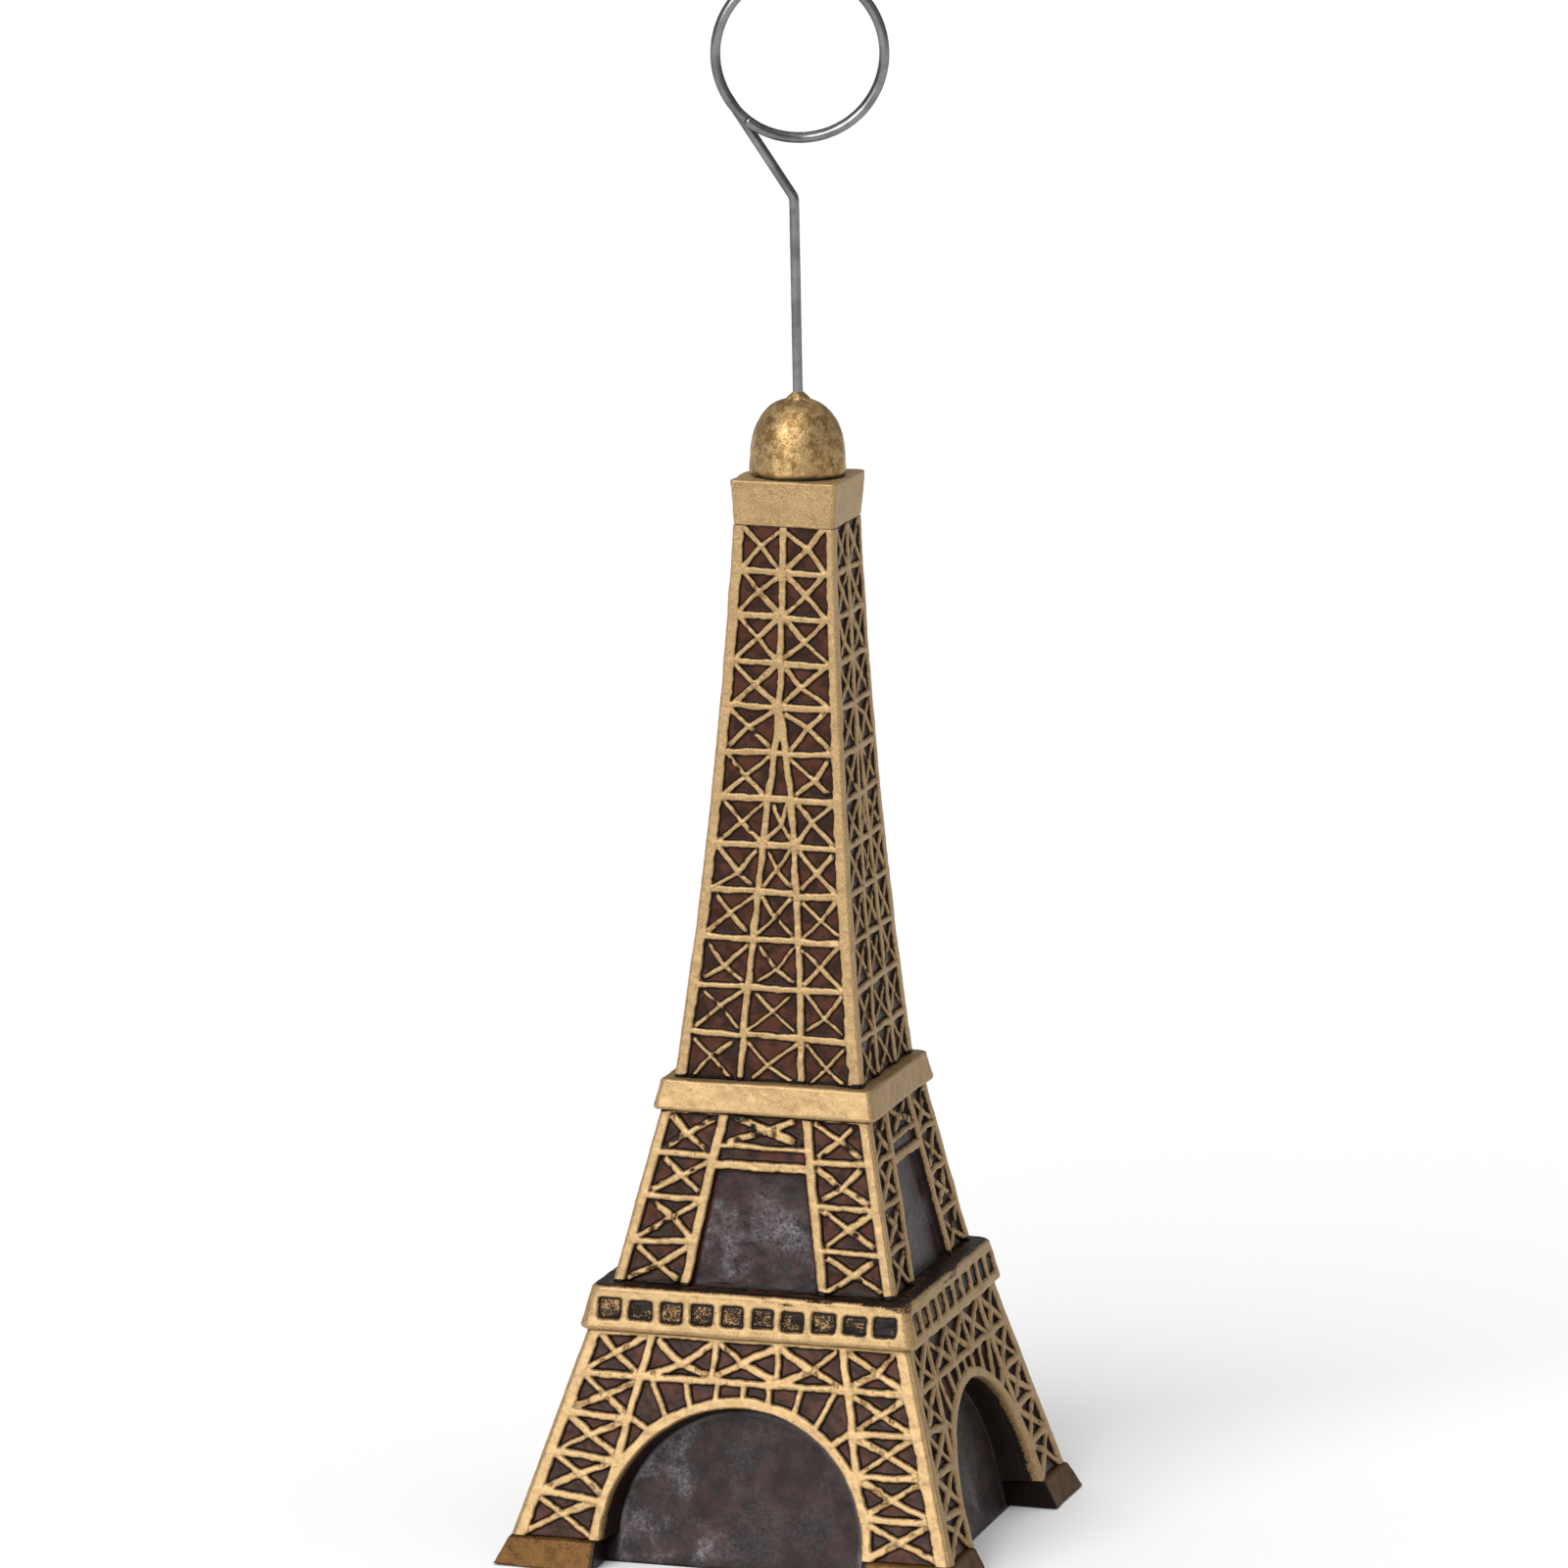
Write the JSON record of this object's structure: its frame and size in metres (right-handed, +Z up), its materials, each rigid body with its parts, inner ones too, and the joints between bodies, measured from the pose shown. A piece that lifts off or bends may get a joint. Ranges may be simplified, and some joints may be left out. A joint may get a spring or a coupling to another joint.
{
  "type": "lattice tower photo holder",
  "caption": "Cast resin table-top weight shaped as a four-legged lattice tower, gold-painted, with a round sprung wire clip on top that grips a card, a photo or a balloon ribbon.",
  "frame": {"origin": "middle of the flat underside, at table level", "axes": "+Z up through the dome; -Y is the front face; the clip's ring faces 16 degrees from the front towards +X"},
  "size_m": [0.055, 0.055, 0.1786],
  "materials": {
    "dark_resin": "satin",
    "panel_resin": "satin",
    "deck_dark": "satin",
    "gold_paint": "satin",
    "bronze_paint": "satin",
    "dome_gold": "gloss",
    "clip_wire": "polished"
  },
  "bodies": {
    "tower": {"recessed_core": "panel_resin", "plinth_front_left": "bronze_paint", "plinth_front_right": "bronze_paint", "plinth_back_right": "bronze_paint", "plinth_back_left": "bronze_paint", "leg_front_left": "dark_resin", "leg_front_right": "dark_resin", "leg_back_right": "dark_resin", "leg_back_left": "dark_resin", "arch_wall_front": "dark_resin", "arch_wall_right": "dark_resin", "arch_wall_back": "dark_resin", "arch_wall_left": "dark_resin", "leg_lattice_front": "gold_paint", "leg_lattice_right": "gold_paint", "leg_lattice_back": "gold_paint", "leg_lattice_left": "gold_paint", "gallery": "gold_paint", "gallery_deck": "deck_dark", "middle_core": "dark_resin", "middle_lattice_front": "gold_paint", "middle_lattice_right": "gold_paint", "middle_lattice_back": "gold_paint", "middle_lattice_left": "gold_paint", "band": "gold_paint", "shaft_core": "dark_resin", "shaft_lattice_front": "gold_paint", "shaft_lattice_right": "gold_paint", "shaft_lattice_back": "gold_paint", "shaft_lattice_left": "gold_paint", "cabin": "gold_paint", "dome": "dome_gold", "glue_collar": "gold_paint", "wire_stem": "clip_wire", "ring_rear_turn": "clip_wire"},
    "clip_leaf": {"ring_front_turn": "clip_wire"}
  },
  "joints": [
    {"name": "clip_spring", "type": "hinge", "parent": "tower", "child": "clip_leaf", "pos_m": [0.00055, 0.00016, 0.15932], "axis": [0.9613, 0.2756, 0], "range_deg": [0, 6], "stiffness_Nm_per_rad": 0.05, "springref_deg": -2.86}
  ]
}
